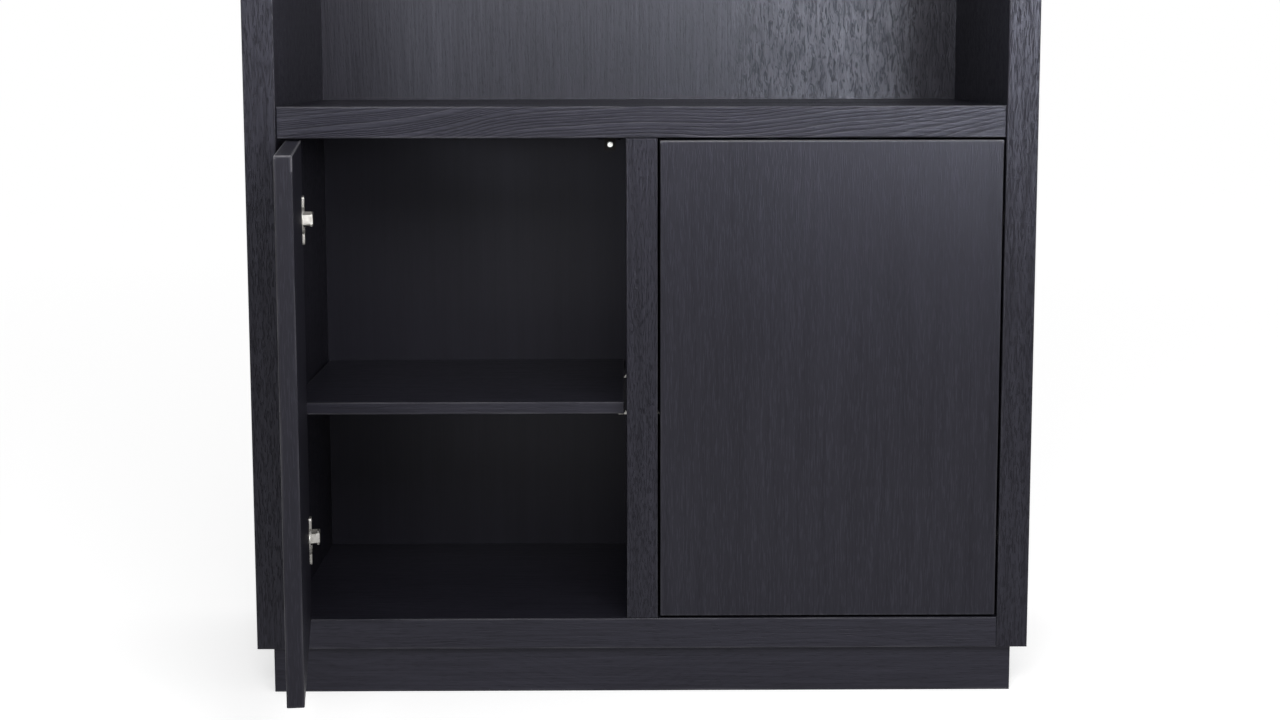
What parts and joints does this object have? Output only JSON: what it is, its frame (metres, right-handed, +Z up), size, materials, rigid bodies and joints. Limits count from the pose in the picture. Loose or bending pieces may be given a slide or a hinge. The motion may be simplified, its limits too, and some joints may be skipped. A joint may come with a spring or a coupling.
{
  "type": "bookcase with cabinet doors",
  "caption": "Tall black-stained oak bookcase with open shelves above and flush push-open doors on concealed hinges below, on a recessed plinth.",
  "frame": {"origin": "middle of the case's footprint, on the floor, under the plinth's cross rail", "axes": "+Z up, the front faces -Y, +X to the right seen from the front"},
  "size_m": [1, 0.8535, 2.1],
  "materials": {
    "oak_upright": "black-stained brushed oak, upright grain, matt lacquer",
    "oak_shelf": "black-stained brushed oak, grain along the board, matt lacquer",
    "oak_loose_shelf": "black-stained oak veneer, grain along the board, matt lacquer",
    "oak_door": "black-stained brushed oak, upright grain, matt lacquer",
    "oak_back": "black-stained oak veneer, upright grain, matt lacquer",
    "oak_plinth": "black-stained oak, grain along the rail, matt lacquer",
    "plain_beech": "bare beech",
    "nickel": "bright nickel plate",
    "spring_steel": "bright drawn wire",
    "zinc_screw": "bright zinc plate",
    "zinc_casting": "tumbled zinc casting",
    "dark_plastic": "dark brown moulded plastic",
    "white_plastic": "white moulded plastic",
    "black_bracket": "black powder coat"
  },
  "bodies": {
    "carcass": {"back_panel": "oak_back", "back_panel_screws": "zinc_screw", "bottom_panel": "oak_shelf", "cam_bolts": "zinc_screw", "cam_discs": "zinc_casting", "centre_partition": "oak_upright", "dowels": "plain_beech", "left_hinge_arm_screws": "zinc_screw", "left_hinge_arms": "nickel", "left_hinge_plate_screws": "zinc_screw", "left_hinge_plates": "nickel", "left_latch_housing": "dark_plastic", "left_latch_screws": "zinc_screw", "left_latch_spring": "spring_steel", "left_shelf_pins": "nickel", "left_side_panel": "oak_upright", "lower_open_shelf": "oak_shelf", "middle_shelf": "oak_shelf", "plinth_back_rail": "oak_plinth", "plinth_corner_blocks": "plain_beech", "plinth_cross_rail": "oak_plinth", "plinth_front_rail": "oak_plinth", "plinth_left_rail": "oak_plinth", "plinth_right_rail": "oak_plinth", "plinth_screws": "zinc_screw", "right_hinge_arm_screws": "zinc_screw", "right_hinge_arms": "nickel", "right_hinge_plate_screws": "zinc_screw", "right_hinge_plates": "nickel", "right_latch_housing": "dark_plastic", "right_latch_screws": "zinc_screw", "right_latch_spring": "spring_steel", "right_shelf_pins": "nickel", "right_side_panel": "oak_upright", "top_panel": "oak_shelf", "upper_open_shelf": "oak_shelf", "wall_bracket": "black_bracket", "wall_bracket_screws": "zinc_screw"},
    "left_door": {"left_door_panel": "oak_door", "left_hinge_cups": "nickel", "left_hinge_cup_screws": "zinc_screw", "left_hinge_pins": "spring_steel"},
    "left_plunger": {"left_latch_plunger": "white_plastic"},
    "left_shelf": {"left_loose_shelf": "oak_loose_shelf"},
    "right_door": {"right_door_panel": "oak_door", "right_hinge_cups": "nickel", "right_hinge_cup_screws": "zinc_screw", "right_hinge_pins": "spring_steel"},
    "right_plunger": {"right_latch_plunger": "white_plastic"},
    "right_shelf": {"right_loose_shelf": "oak_loose_shelf"}
  },
  "joints": [
    {"name": "left_door_hinge", "type": "hinge", "parent": "carcass", "child": "left_door", "pos_m": [-0.43944, -0.214, 0.41], "axis": [0, 0, -1], "range_deg": [-83, 12]},
    {"name": "right_door_hinge", "type": "hinge", "parent": "carcass", "child": "right_door", "pos_m": [0.43944, -0.214, 0.41], "axis": [0, 0, 1], "range_deg": [0, 95]},
    {"name": "left_latch_push", "type": "slide", "parent": "carcass", "child": "left_plunger", "axis": [0, 1, 0], "range_m": [0, 0.003], "stiffness_N_per_m": 400, "deforming": ["left_latch_spring"]},
    {"name": "right_latch_push", "type": "slide", "parent": "carcass", "child": "right_plunger", "axis": [0, 1, 0], "range_m": [0, 0.003], "stiffness_N_per_m": 400, "deforming": ["right_latch_spring"]},
    {"name": "left_shelf_lift", "type": "slide", "parent": "carcass", "child": "left_shelf", "axis": [0, 0, 1], "range_m": [0, 0.03]},
    {"name": "right_shelf_lift", "type": "slide", "parent": "carcass", "child": "right_shelf", "axis": [0, 0, 1], "range_m": [0, 0.03]}
  ]
}
